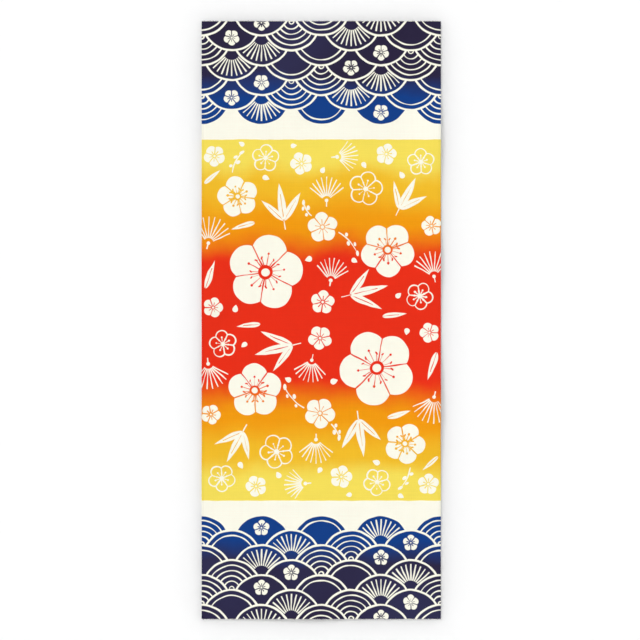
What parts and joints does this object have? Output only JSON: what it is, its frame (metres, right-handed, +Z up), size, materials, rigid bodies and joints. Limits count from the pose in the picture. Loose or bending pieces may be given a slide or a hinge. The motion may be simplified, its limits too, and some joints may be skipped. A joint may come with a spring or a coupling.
{
  "type": "tenugui towel",
  "caption": "Narrow flat towel of thin plain-woven cotton, dyed through, with selvedges on the long sides and plain cut ends, lying spread out face up.",
  "frame": {"origin": "on the surface that the cloth lies on, under the middle of the cloth", "axes": "+X across the cloth from its left selvedge to its right one, +Y along it towards the end that is at the top of the picture, +Z up out of its face"},
  "size_m": [0.36, 0.9, 0.0026],
  "materials": {
    "dyed_cotton": "matt plain-weave cotton, resist dyed through both faces in navy, blue, yellow, orange and red on a cream ground"
  },
  "bodies": {
    "root": {"cloth": "dyed_cotton"}
  },
  "joints": []
}
